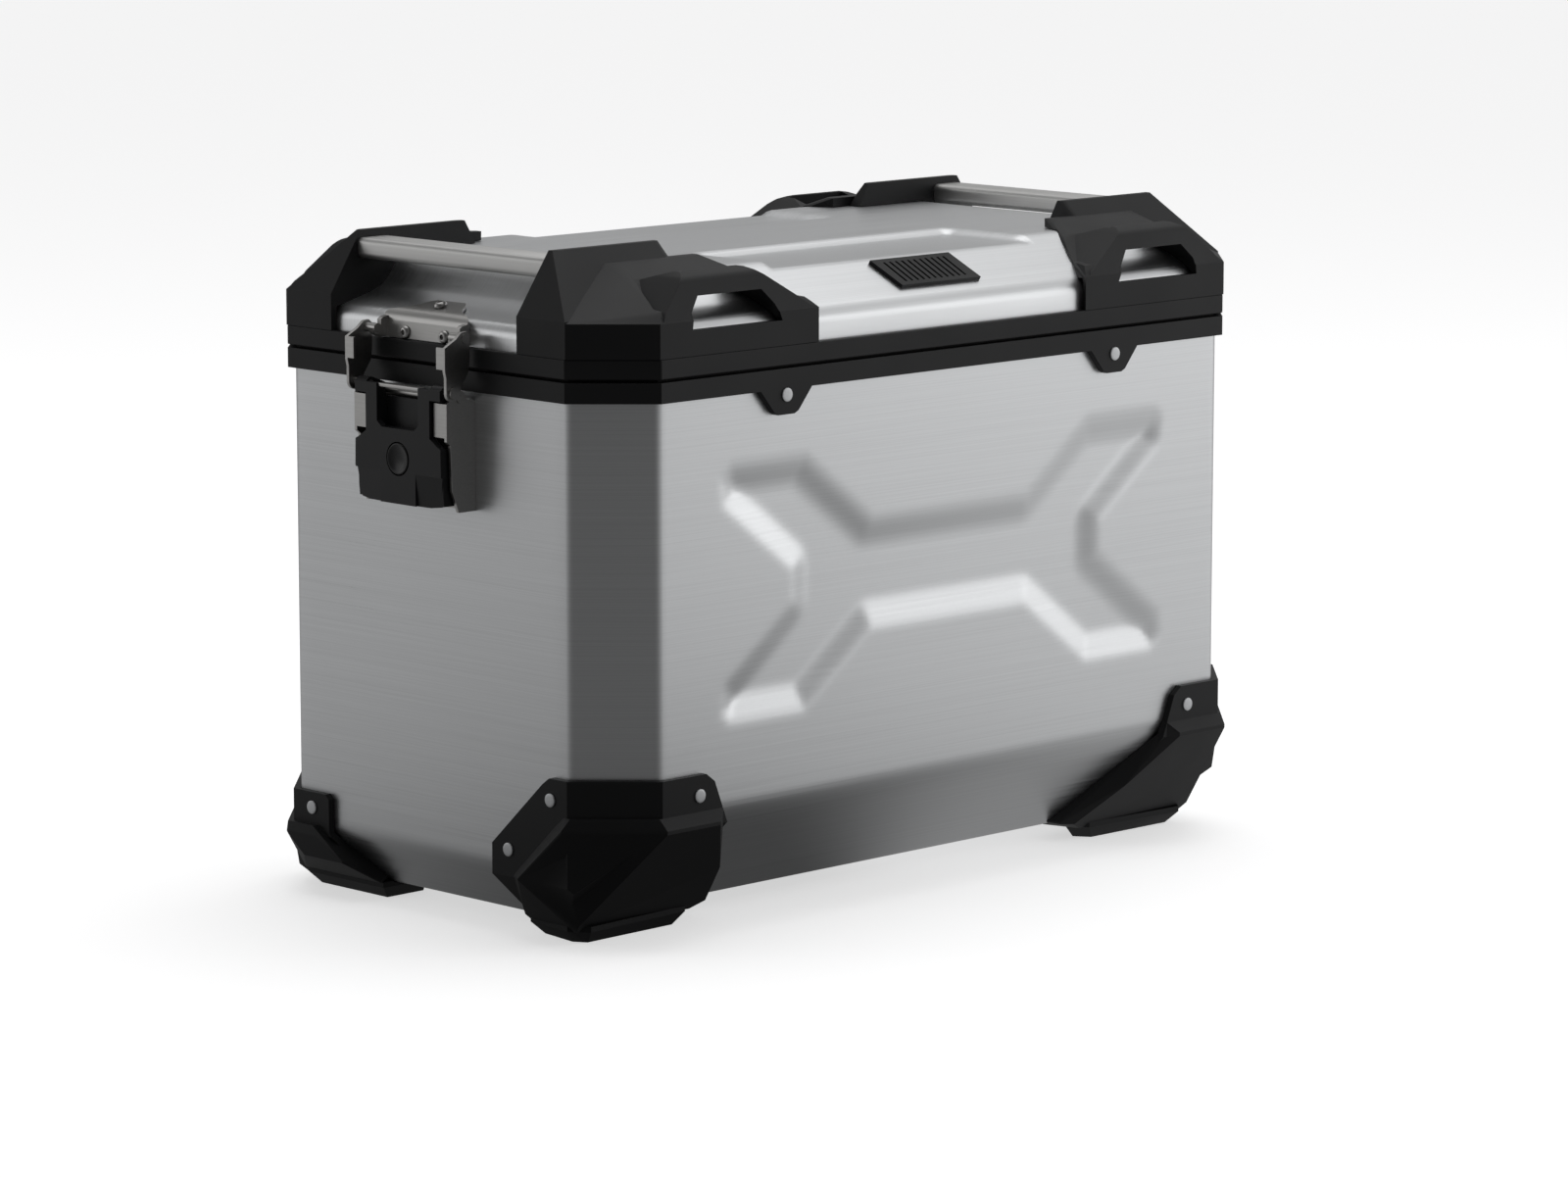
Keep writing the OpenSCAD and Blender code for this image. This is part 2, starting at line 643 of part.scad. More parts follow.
module latch_base_l() { mirror([1, 0, 0]) latch_base(); }
module latch_base_r() { latch_base(); }
module lever_pin_l() { mirror([1, 0, 0]) lever_pin(); }
module lever_pin_r() { lever_pin(); }
module catch_l() { mirror([1, 0, 0]) catch(); }
module catch_r() { catch(); }
module lever_l() { mirror([1, 0, 0]) lever(); }
module lever_r() { lever(); }
module lever_strap_l() { mirror([1, 0, 0]) lever_strap(); }
module lever_strap_r() { lever_strap(); }
module lock_cap_l() { mirror([1, 0, 0]) lock_cap(); }
module lock_cap_r() { lock_cap(); }
module arm_pins_l() { mirror([1, 0, 0]) arm_pins(); }
module arm_pins_r() { arm_pins(); }
module arm_fl() { mirror([1, 0, 0]) arm(1); }
module arm_rl() { mirror([1, 0, 0]) arm(0); }
module arm_fr() { arm(1); }
module arm_rr() { arm(0); }
module hook_pin_l() { mirror([1, 0, 0]) hook_pin(); }
module hook_pin_r() { hook_pin(); }

body_shell();
body_rim();
rim_rivets();
guard_fl();
guard_fr();
guard_rl();
guard_rr();
guard_rivets();
latch_base_l();
latch_base_r();
base_rivets();
lever_pin_l();
lever_pin_r();
lid_shell();
lid_rim();
lid_seal();
badge();
pad_fl();
pad_fr();
pad_rl();
pad_rr();
pad_screws();
handle_l();
handle_r();
catch_l();
catch_r();
catch_screws();
lever_l();
lever_r();
lever_strap_l();
lever_strap_r();
lock_cap_l();
lock_cap_r();
arm_pins_l();
arm_pins_r();
arm_fl();
arm_rl();
arm_fr();
arm_rr();
hook_pin_l();
hook_pin_r();
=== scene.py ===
import json
import math

import bmesh
import bpy
import numpy as np
from mathutils import Matrix, Vector


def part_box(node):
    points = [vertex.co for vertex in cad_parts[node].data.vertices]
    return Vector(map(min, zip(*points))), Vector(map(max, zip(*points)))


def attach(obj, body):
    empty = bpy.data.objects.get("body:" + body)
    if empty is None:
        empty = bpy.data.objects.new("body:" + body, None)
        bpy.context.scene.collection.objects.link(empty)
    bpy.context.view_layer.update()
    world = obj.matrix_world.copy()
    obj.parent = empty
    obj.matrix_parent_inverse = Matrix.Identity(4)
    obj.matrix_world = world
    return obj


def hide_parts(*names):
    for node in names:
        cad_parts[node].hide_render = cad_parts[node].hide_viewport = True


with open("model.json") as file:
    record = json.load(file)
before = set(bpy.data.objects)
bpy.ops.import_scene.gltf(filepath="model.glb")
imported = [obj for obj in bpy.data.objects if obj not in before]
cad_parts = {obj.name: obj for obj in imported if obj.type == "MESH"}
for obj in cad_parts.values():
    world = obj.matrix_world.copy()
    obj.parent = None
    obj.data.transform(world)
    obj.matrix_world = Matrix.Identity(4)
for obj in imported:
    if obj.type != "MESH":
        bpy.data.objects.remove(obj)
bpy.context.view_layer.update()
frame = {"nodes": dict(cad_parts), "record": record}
NODES = frame["nodes"]
RECORD = frame["record"]
SLOT_OF = {s["node"]: s["material_slot"] for s in RECORD["subparts"]}
BODY_OF = {n: b for b, ns in RECORD["behaviour"]["bodies"].items() for n in ns}
MM = 0.001
PLASTIC_SPECULAR = 0.27

# metres: points closer than this become one
MERGE, FINE_MERGE = 0.00002, 0.00001
# degrees: a flatter edge is merged away, a sharper one is rounded
FLAT_ANGLE, EDGE_ANGLE = 0.8, 28.0

# ---------------------------------------------------------------- materials


def principled(name):
    m = bpy.data.materials.new(name)
    m.use_nodes = True
    nt = m.node_tree
    nt.nodes.clear()
    out = nt.nodes.new("ShaderNodeOutputMaterial")
    bsdf = nt.nodes.new("ShaderNodeBsdfPrincipled")
    nt.links.new(bsdf.outputs[0], out.inputs[0])
    return m, nt, bsdf


def coords(nt, scale):
    """Object coordinates in metres, times scale."""
    tc = nt.nodes.new("ShaderNodeTexCoord")
    mp = nt.nodes.new("ShaderNodeMapping")
    mp.inputs["Scale"].default_value = scale
    nt.links.new(tc.outputs["Object"], mp.inputs["Vector"])
    return mp.outputs[0]


def noise(nt, vec, scale=1.0, detail=3.0, rough=0.55):
    n = nt.nodes.new("ShaderNodeTexNoise")
    n.inputs["Scale"].default_value = scale
    n.inputs["Detail"].default_value = detail
    n.inputs["Roughness"].default_value = rough
    nt.links.new(vec, n.inputs["Vector"])
    return n.outputs["Fac"]


def remap(nt, value, lo, hi, from_lo=0.3, from_hi=0.7):
    """Takes value from the range from_lo..from_hi to lo..hi, held at both ends."""
    r = nt.nodes.new("ShaderNodeMapRange")
    r.inputs["From Min"].default_value = from_lo
    r.inputs["From Max"].default_value = from_hi
    r.inputs["To Min"].default_value = lo
    r.inputs["To Max"].default_value = hi
    nt.links.new(value, r.inputs["Value"])
    return r.outputs[0]


def tint(nt, fac, dark, light):
    mix = nt.nodes.new("ShaderNodeMix")
    mix.data_type = "RGBA"
    mix.inputs["A"].default_value = (*dark, 1)
    mix.inputs["B"].default_value = (*light, 1)
    nt.links.new(fac, mix.inputs["Factor"])
    return mix.outputs["Result"]


def bump(nt, height, bsdf, strength, distance):
    b = nt.nodes.new("ShaderNodeBump")
    b.inputs["Strength"].default_value = strength
    b.inputs["Distance"].default_value = distance
    nt.links.new(height, b.inputs["Height"])
    nt.links.new(b.outputs[0], bsdf.inputs["Normal"])


def brushed_metal(name, colour, rough, streak, depth=0.00002, spread=0.07):
    """Metal with fine brush lines; streak is the mapping scale, high across the lines."""
    m, nt, b = principled(name)
    b.inputs["Metallic"].default_value = 1.0
    fine = noise(nt, coords(nt, streak), 1.0, 4.0, 0.62)
    broad = noise(nt, coords(nt, (3.0, 3.0, 3.0)), 1.0, 2.0)
    dark = tuple(c * 0.93 for c in colour)
    light = tuple(min(1.0, c * 1.05) for c in colour)
    nt.links.new(tint(nt, remap(nt, fine, 0, 1), dark, light), b.inputs["Base Color"])
    add = nt.nodes.new("ShaderNodeMath")
    add.operation = "ADD"
    nt.links.new(remap(nt, fine, rough - spread, rough + spread), add.inputs[0])
    nt.links.new(remap(nt, broad, -0.02, 0.02), add.inputs[1])
    nt.links.new(add.outputs[0], b.inputs["Roughness"])
    bump(nt, fine, b, 0.35, depth)
    return m


def grained_plastic(name, colour, rough, grain=1100.0, depth=0.00006, strength=0.35):
    """Moulded plastic with a fine spark-eroded grain and slow sheen changes."""
    m, nt, b = principled(name)
    vec = coords(nt, (1, 1, 1))
    g = noise(nt, vec, grain, 2.0, 0.5)
    broad = noise(nt, vec, 14.0, 3.0)
    nt.links.new(tint(nt, remap(nt, broad, 0, 1), tuple(c * 0.9 for c in colour),
                      tuple(c * 1.12 for c in colour)), b.inputs["Base Color"])
    nt.links.new(remap(nt, broad, rough - 0.04, rough + 0.05), b.inputs["Roughness"])
    b.inputs["Specular IOR Level"].default_value = PLASTIC_SPECULAR
    bump(nt, g, b, strength, depth)
    return m


MATERIALS = {
    "aluminium": brushed_metal("brushed_tub", (0.66, 0.67, 0.68), 0.36, (5, 5, 1500)),
    "lid": brushed_metal("brushed_lid", (0.70, 0.71, 0.72), 0.36, (5, 1300, 60)),
    "handle_aluminium": brushed_metal("anodised_bar", (0.60, 0.597, 0.588), 0.46,
                                      (1200, 6, 1200), 0.00001, 0.03),
    "stainless": brushed_metal("brushed_stainless", (0.45, 0.445, 0.435), 0.33,
                               (900, 40, 1400), 0.000004, 0.02),
    "rivets": brushed_metal("rivet_metal", (0.62, 0.63, 0.64), 0.55, (900, 900, 900),
                            0.000004, 0.02),
    "black_plastic": grained_plastic("black_grained_plastic", (0.0125, 0.0127, 0.0135),
                                     0.52),
    "lever_plastic": grained_plastic("lever_plastic", (0.016, 0.016, 0.0175), 0.42, 1500.0,
                                     0.00004, 0.25),
    "cap_plastic": grained_plastic("cap_plastic", (0.013, 0.013, 0.014), 0.28, 1800.0,
                                   0.00002, 0.12),
    "seal_rubber": grained_plastic("seal_rubber", (0.008, 0.008, 0.008), 0.7),
}

# ---------------------------------------------------------------- mesh helpers


def finish_piece(ob, node, material, nodes):
    """Gives a piece its material, the body it moves with and the nodes it stands for."""
    ob.data.materials.clear()
    ob.data.materials.append(MATERIALS[material])
    body = BODY_OF[node]
    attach(ob, body)
    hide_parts(*nodes)
    return ob


def link(name, mesh):
    ob = bpy.data.objects.new(name, mesh)
    bpy.context.scene.collection.objects.link(ob)
    return ob


def apply_modifiers(ob):
    """Replaces the mesh by the result of the modifiers."""
    dg = bpy.context.evaluated_depsgraph_get()
    baked = bpy.data.meshes.new_from_object(ob.evaluated_get(dg), depsgraph=dg)
    old = ob.data
    ob.modifiers.clear()
    ob.data = baked
    bpy.data.meshes.remove(old)
    return ob


def smooth(ob):
    for p in ob.data.polygons:
        p.use_smooth = True


def shade(ob, sharp):
    """Smooth shading, with edges above sharp degrees kept sharp."""
    smooth(ob)
    ob.data.set_sharp_from_angle(angle=math.radians(sharp))


def soft_copy(node, width, segments):
    """The node's own solid with its sharp edges rounded."""
    mesh = NODES[node].data.copy()
    bm = bmesh.new()
    bm.from_mesh(mesh)
    bmesh.ops.remove_doubles(bm, verts=bm.verts, dist=MERGE)
    # a merged face can't have a hole in it, so rings are first cut along both middle planes
    for normal in ((1, 0, 0), (0, 1, 0)):
        parts = [*bm.verts, *bm.edges, *bm.faces]
        cut = bmesh.ops.bisect_plane(bm, geom=parts, plane_co=(0, 0, 0), plane_no=normal)
        for part in cut["geom_cut"]:
            if isinstance(part, bmesh.types.BMEdge):
                part.seam = True
    bmesh.ops.dissolve_limit(bm, angle_limit=math.radians(FLAT_ANGLE), verts=bm.verts,
                             edges=bm.edges, delimit={"SEAM"})
    bm.to_mesh(mesh)
    bm.free()
    mesh.materials.clear()
    ob = link(node + "_piece", mesh)
    smooth(ob)
    bev = ob.modifiers.new("edge", "BEVEL")
    bev.width = width * MM
    bev.segments = segments
    bev.limit_method = "ANGLE"
    bev.angle_limit = math.radians(EDGE_ANGLE)
    bev.use_clamp_overlap = True
    bev.miter_outer = "MITER_ARC"
    wn = ob.modifiers.new("normals", "WEIGHTED_NORMAL")
    wn.keep_sharp = True
    wn.weight = 100
    return apply_modifiers(ob)


def loft(rings, cap_first=False, cap_last=False):
    """Mesh through equally long closed rings of points, in millimetres."""
    rings = [np.asarray(r, float) for r in rings]
    n = len(rings[0])
    verts = np.concatenate(rings) * MM
    faces = []
    for i in range(len(rings) - 1):
        for j in range(n):
            k = (j + 1) % n
            faces.append((i * n + j, i * n + k, (i + 1) * n + k, (i + 1) * n + j))
    if cap_first:
        faces.append(tuple(range(n - 1, -1, -1)))
    if cap_last:
        base = (len(rings) - 1) * n
        faces.append(tuple(range(base, base + n)))
    mesh = bpy.data.meshes.new("loft")
    mesh.from_pydata([tuple(v) for v in verts], [], faces)
    mesh.update()
    return mesh


def tidy_mesh(mesh, dist=FINE_MERGE):
    """Merges points that coincide and drops faces without area."""
    bm = bmesh.new()
    bm.from_mesh(mesh)
    bmesh.ops.remove_doubles(bm, verts=bm.verts, dist=dist)
    bmesh.ops.dissolve_degenerate(bm, edges=bm.edges, dist=dist)
    bm.to_mesh(mesh)
    bm.free()
    return mesh


def join_meshes(name, meshes):
    bm = bmesh.new()
    for m in meshes:
        bm.from_mesh(m)
    out = bpy.data.meshes.new(name)
    bm.to_mesh(out)
    bm.free()
    return link(name, out)


# ---------------------------------------------------------------- sizes, in millimetres
BODY_L, BODY_W, CORNER, WALL = 500.0, 284.0, 33.0, 1.5
FLOOR_Z, BODY_TOP = 9.0, 297.0
L2, W2 = BODY_L / 2, BODY_W / 2
BEVEL_Y, BEVEL_Z = 58.0, 65.5
END_BEVEL, END_Z = 22.0, 36.0
BACK_BEVEL = 16.0
X_ZC, X_DEPTH = 183.5, 4.0
X_OUTSIDE, X_SLOPE = 2.0, 19.0      # where the pressing starts, and its slope's width
CORNER_BEND, BEND_STEPS = 7.0, 5
FLOOR_BEND = 4.0
LIP_FRONT, LIP_OTHER = 0.5, 0.6     # how much of the floor's bend each wall takes
CREASE_FRONT, CREASE_END, CREASE_BACK = 9.0, 6.0, 4.0
TAN_22 = 0.414                      # half of an octagon's corner
HOLE_CUT = 20.0
BAR_R, BAR_EASE = 3.2, 0.5
TAB_RIVET_X, TAB_RIVET_Z = 128, 286.5
GUARD_RIVETS_END = ((-98, 80), (-65, 49), (95, 49))     # y, z
GUARD_RIVET_FRONT, GUARD_RIVET_BACK = (192, 80.5), (199, 48)    # x, z
CATCH_SHEET, CATCH_SCREW_Y, CATCH_SCREW_Z = 2, 15.5, 316.3
SHELF_X, SHELF_Z, SHELF_TILT, SHELF_SCREW = 238, 320, 15.14, 11.25
LOCK_X, LOCK_Z = 260, 252.0
K = L2 + W2 - CORNER


def smoothstep(t):
    return t * t * (3 - 2 * t)


def ramp(u, r):
    """0 below the crease, u above it, with a parabolic blend of half-width r."""
    if u <= -r:
        return 0.0
    if u >= r:
        return u
    return (u + r) ** 2 / (4 * r)


def fillet_ring(corners, counts, radius):
    """Outline through corners with rounded corners and counts[i] steps on edge i."""
    pts = []
    n = len(corners)
    c = [np.array(p, float) for p in corners]
    cut_in = []
    for i in range(n):
        a, b, d = c[i - 1], c[i], c[(i + 1) % n]
        la, lb = np.linalg.norm(a - b), np.linalg.norm(d - b)
        cut = min(radius * TAN_22, 0.45 * la, 0.45 * lb)
        ua = (a - b) / la if la > 1e-6 else np.zeros(2)
        ub = (d - b) / lb if lb > 1e-6 else np.zeros(2)
        cut_in.append((b + ua * cut, b, b + ub * cut))
    for i in range(n):
        s, m, e = cut_in[i]
        for t in np.linspace(0, 1, BEND_STEPS):
            pts.append((1 - t) ** 2 * s + 2 * t * (1 - t) * m + t * t * e)
        nxt = cut_in[(i + 1) % n][0]
        for t in np.linspace(0, 1, counts[i] + 1)[1:-1]:
            pts.append(e + (nxt - e) * t)
    return np.array(pts)


def octagon_corners(xe, yf, yb):
    """Corners from the front left, counter-clockwise seen from above."""
    xf, xb = min(xe, K + yf), min(xe, K - yb)
    sf, sb = min(-yf, K - xe), min(yb, K - xe)
    return [(-xf, yf), (xf, yf), (xe, -sf), (xe, sb), (xb, yb), (-xb, yb), (-xe, sb),
            (-xe, -sf)]


# ---- the pressed X panel
QUARTER = [(60, 30), (110, 68.5), (166, 68.5), (173, 62), (171, 48), (120.5, 9)]


def x_outline():
    """The quarter mirrored to the whole X, as one outline."""
    q = QUARTER
    r = q[::-1]
    return np.array([*q, *[(x, -z) for x, z in r], *[(-x, -z) for x, z in q],
                     *[(-x, z) for x, z in r]], float)


def inside_distance(px, pz, poly):
    """Distance to the outline, positive inside it."""
    best = np.full(px.shape, 1e9)
    inside = np.zeros(px.shape, bool)
    n = len(poly)
    for i in range(n):
        ax, az = poly[i]
        bx, bz = poly[(i + 1) % n]
        dx, dz = bx - ax, bz - az
        t = np.clip(((px - ax) * dx + (pz - az) * dz) / (dx * dx + dz * dz), 0, 1)
        best = np.minimum(best, np.hypot(px - ax - t * dx, pz - az - t * dz))
        cross = (az > pz) != (bz > pz)
        with np.errstate(divide="ignore", invalid="ignore"):
            hit = px < (bx - ax) * (pz - az) / (bz - az) + ax
        inside ^= cross & hit
    return np.where(inside, best, -best)


X_POLY = x_outline()


def x_recess(px, pz):
    d = inside_distance(px, pz - X_ZC, X_POLY)
    t = np.clip((d + X_OUTSIDE) / X_SLOPE, 0, 1)
    return X_DEPTH * smoothstep(t)


def thicken(ob):
    """Gives an outer skin the sheet's thickness, inwards."""
    sol = ob.modifiers.new("sheet", "SOLIDIFY")
    sol.thickness = WALL * MM
    sol.offset = -1
    apply_modifiers(ob)


def make_tub():
    """Tub of bent sheet with creased bevels and the pressed X in its front wall."""
    levels = [*np.arange(FLOOR_Z, 13.1, 0.8), *np.arange(15, 84, 2.3),
              *np.arange(86, 284, 3.0), 288, BODY_TOP]
    counts = [150, 2, 26, 2, 40, 2, 26, 2]
    rings = []
    for z in levels:
        low = max(0.0, FLOOR_BEND - (z - FLOOR_Z))
        lip = FLOOR_BEND - math.sqrt(max(0.0, FLOOR_BEND ** 2 - low * low))
        slope = BEVEL_Y / (BEVEL_Z - FLOOR_Z)
        yf = -W2 + slope * ramp(BEVEL_Z - z, CREASE_FRONT) + lip * LIP_FRONT
        end_slope = END_BEVEL / (END_Z - FLOOR_Z)
        xe = L2 - end_slope * ramp(END_Z - z, CREASE_END) - lip * LIP_OTHER
        yb = W2 - ramp(FLOOR_Z + BACK_BEVEL - z, CREASE_BACK) - lip * LIP_OTHER
        ring = fillet_ring(octagon_corners(xe, yf, yb), counts, CORNER_BEND)
        front = np.abs(ring[:, 1] - yf) < 1e-6
        y = ring[:, 1].copy()
        y[front] += x_recess(ring[front, 0], np.full(front.sum(), z))
        rings.append(np.column_stack([ring[:, 0], y, np.full(len(ring), z)]))
    mesh = tidy_mesh(loft(rings, cap_first=True))
    ob = link("tub_shell", mesh)
    thicken(ob)
    drill_carrier_holes(ob)
    shade(ob, 35)
    return finish_piece(ob, "body_shell", "aluminium", nodes=["body_shell"])


def drill_carrier_holes(ob):
    """Four holes in the back wall, at the record's own places."""
    spots = next(m for m in RECORD["mounts"] if m["name"] == "carrier_holes")
    dx = spots["dims"]["spacing_x_mm"] / 2
    dz = spots["dims"]["spacing_y_mm"] / 2
    r = spots["dims"]["hole_r_mm"]
    for sx in (-1, 1):
        for sz in (-1, 1):
            bpy.ops.mesh.primitive_cylinder_add(vertices=32, radius=r * MM,
                                                depth=HOLE_CUT * MM)
            cutter = bpy.context.object
            cutter.matrix_world = Matrix.Translation(
                Vector((sx * dx, W2, X_ZC + sz * dz)) * MM) @ Matrix.Rotation(
                    math.pi / 2, 4, "X")
            mod = ob.modifiers.new("hole", "BOOLEAN")
            mod.operation = "DIFFERENCE"
            mod.solver = "EXACT"
            mod.object = cutter
            bpy.context.view_layer.update()
            apply_modifiers(ob)
            bpy.data.objects.remove(cutter)


# ---------------------------------------------------------------- lid
LID_TOP, LID_BASE = 352.0, 304.0
LID_FLAT_Y, LID_SIDE_Z, SLOPE_RUN = 100, 327.5, 60
LID_BEND, RIDGE_BLEND = 6.0, 1.5
STEP_X, STEP_Y, STEP_DEPTH, STEP_Z = 98, 46, 4.0, 348.0     # the pressed step
TABLE_STEP, TABLE_MARGIN = 0.5, 20


def smoothed_table(points, lo, hi, half):
    """Heights along a bent line, with its bends rounded over half on each side."""
    xs = np.arange(lo - TABLE_MARGIN, hi + TABLE_MARGIN, TABLE_STEP)
    px, pz = zip(*points)
    zs = np.interp(xs, px, pz)
    k = int(half / TABLE_STEP)
    kernel = np.hanning(2 * k + 3)[1:-1]
    kernel /= kernel.sum()
    pad = np.concatenate([np.full(k, zs[0]), zs, np.full(k, zs[-1])])
    return xs, np.convolve(pad, kernel, "valid")


SLOPE = (LID_TOP - LID_SIDE_Z) / (W2 - LID_FLAT_Y)
LONG_XS, LONG_ZS = smoothed_table(
    [(0, LID_TOP), (LID_FLAT_Y, LID_TOP),
     (LID_FLAT_Y + SLOPE_RUN, LID_TOP - SLOPE_RUN * SLOPE)], 0, 150, 5.0)
END_XS, END_ZS = smoothed_table(
    [(0, LID_TOP), (203, LID_TOP), (207, 348), (211, 341), (218, 334.5), (226, 331.5),
     (250, 325), (270, 319.6)], 0, 260, 4.0)


def lid_height(x, y):
    """Height of the lid's outer skin, before its outer bend."""
    a = np.interp(np.abs(y), LONG_XS, LONG_ZS)
    b = np.interp(np.abs(x), END_XS, END_ZS)
    k = RIDGE_BLEND
    h = np.clip(0.5 + (b - a) / (2 * k), 0, 1)
    z = b * (1 - h) + a * h - k * h * (1 - h)
    # pressed step along each long edge
    ends = np.clip((STEP_X - np.abs(x) + 4) / 9, 0, 1)
    side = np.clip((np.abs(y) - STEP_Y + 4) / 8, 0, 1)
    step = STEP_DEPTH * smoothstep(ends) * smoothstep(side)
    floor = np.maximum(0.0, z - STEP_Z)
    return z - np.minimum(step, floor)


def make_lid():
    """Lid of bent sheet: a bend round its edge, then rings inwards over the top."""
    counts = [170, 4, 80, 4, 170, 4, 80, 4]
    bend = LID_BEND
    insets = [bend * (1 - math.cos(math.radians(a))) for a in range(0, 91, 15)]
    insets += list(np.arange(bend + 2.2, W2 - 3, 2.4)) + [W2 - 1.5]
    rings = []
    base = None
    for t in insets:
        c = CORNER - (1 - TAN_22) * t
        xe, ye = L2 - t, W2 - t
        c = max(0.2, c)
        corners = [(-xe + c, -ye), (xe - c, -ye), (xe, -ye + c), (xe, ye - c),
                   (xe - c, ye), (-xe + c, ye), (-xe, ye - c), (-xe, -ye + c)]
        ring = fillet_ring(corners, counts, max(1.0, CORNER_BEND - t * 0.1))
        drop = bend - math.sqrt(max(0.0, bend ** 2 - max(0.0, bend - t) ** 2))
        z = lid_height(ring[:, 0], ring[:, 1]) - drop
        if base is None:
            base = ring
            for frac in (0.0, 0.5):
                zz = LID_BASE + (z - LID_BASE) * frac
                rings.append(np.column_stack([ring, zz]))
        rings.append(np.column_stack([ring, z]))
    mesh = tidy_mesh(loft(rings, cap_last=True), MERGE)
    ob = link("lid_skin", mesh)
    thicken(ob)
    shade(ob, 40)
    return finish_piece(ob, "lid_shell", "lid", nodes=["lid_shell"])


# ---------------------------------------------------------------- small parts


def oriented(mesh, at, axis):
    """Turns a mesh built along +Z to point along axis and moves it to at (mm)."""
    q = Vector((0, 0, 1)).rotation_difference(Vector(axis).normalized())
    mesh.transform(Matrix.Translation(Vector(at) * MM) @ q.to_matrix().to_4x4())
    return mesh


def turned(profile, n=40):
    """Closed turned part from a profile of (radius, height), in millimetres."""
    rings = []
    for r, h in profile:
        a = np.linspace(0, 2 * math.pi, n, endpoint=False)
        rings.append(np.column_stack([r * np.cos(a), r * np.sin(a), np.full(n, h)]))
    return tidy_mesh(loft(rings, cap_first=True, cap_last=True))


def rivet_mesh(r=3.7, seat=4.1):
    """Flat-headed blind rivet; seat is the height of the plastic under its head."""
    return turned([(2.0, 0.0), (2.0, seat), (r, seat), (r, seat + 0.45),
                   (r - 0.12, seat + 0.65), (r - 0.5, seat + 0.78), (r - 1.4, seat + 0.85),
                   (0.05, seat + 0.88)])


def screw_mesh(r=3.6, h=2.2):
    """Button head with a hexagon socket."""
    n = 48
    a = np.linspace(0, 2 * math.pi, n, endpoint=False)
    circle = np.column_stack([np.cos(a), np.sin(a)])
    hexa = []
    for t in a:
        s = (t + math.pi / 6) % (math.pi / 3) - math.pi / 6
        d = 1.35 / math.cos(s)
        hexa.append((d * math.cos(t), d * math.sin(t)))
    hexa = np.array(hexa)

    def ring(shape, scale, z):
        return np.column_stack([shape * scale, np.full(n, z)])
    rings = [ring(circle, 2.0, -3.4), ring(circle, 2.0, 0), ring(circle, r, 0),
             ring(circle, r, 0.35), ring(circle, r * 0.97, 0.8), ring(circle, r * 0.88, 1.35),
             ring(circle, r * 0.74, h * 0.84), ring(circle, r * 0.56, h),
             ring(hexa, 1.08, h), ring(hexa, 1.0, h - 0.12), ring(hexa, 1.0, h - 1.4),
             ring(hexa, 0.2, h - 1.6)]
    return tidy_mesh(loft(rings, cap_first=True, cap_last=True))


def piece_from(name, meshes, node, material, sharp=32):
    """One piece from meshes, standing for node."""
    ob = join_meshes(name, meshes)
    shade(ob, sharp)
    return finish_piece(ob, node, material, nodes=[node])


def make_rivets():
    tabs = [oriented(rivet_mesh(), (sx * TAB_RIVET_X, sy * W2, TAB_RIVET_Z),
                     (0, sy, 0)) for sx in (-1, 1) for sy in (-1, 1)]
    piece_from("rim_rivet_heads", tabs, "rim_rivets", "rivets")
    guards = []
    for sx in (-1, 1):
        for y, z in GUARD_RIVETS_END:
            guards.append(oriented(rivet_mesh(), (sx * L2, y, z), (sx, 0, 0)))
        for sy, (x, z) in ((-1, GUARD_RIVET_FRONT), (1, GUARD_RIVET_BACK)):
            guards.append(oriented(rivet_mesh(), (sx * x, sy * W2, z), (0, sy, 0)))
    piece_from("guard_rivet_heads", guards, "guard_rivets", "rivets")


def make_catch_screws():
    out = []
    for sx in (-1, 1):
        for y in (-CATCH_SCREW_Y, CATCH_SCREW_Y):
            at = (sx * (L2 + CATCH_SHEET), y, CATCH_SCREW_Z)
            out.append(oriented(screw_mesh(), at, (sx, 0, 0)))
        a = math.radians(SHELF_TILT)
        top = (sx * (SHELF_X + SHELF_SCREW * math.sin(a)), 0,
               SHELF_Z + SHELF_SCREW * math.cos(a))
        out.append(oriented(screw_mesh(), top, (sx * math.sin(a), 0, math.cos(a))))
    piece_from("catch_button_screws", out, "catch_screws", "stainless")


def make_lock_caps():
    """Dished cap in the lever's face, with a fine groove round it."""
    dish = [(8.5, 0), (8.5, 11.7), (8.3, 12.1), (7.9, 12.3), (7.4, 12.2), (6.4, 11.8),
            (5.0, 11.4), (3.4, 11.1), (1.7, 10.95), (0.05, 10.9)]
    for side, sx in (("l", -1), ("r", 1)):
        mesh = oriented(turned(dish, 56), (sx * LOCK_X, 0, LOCK_Z), (sx, 0, 0))
        piece_from("lock_cap_dish_" + side, [mesh], "lock_cap_" + side, "cap_plastic",
                   sharp=50)


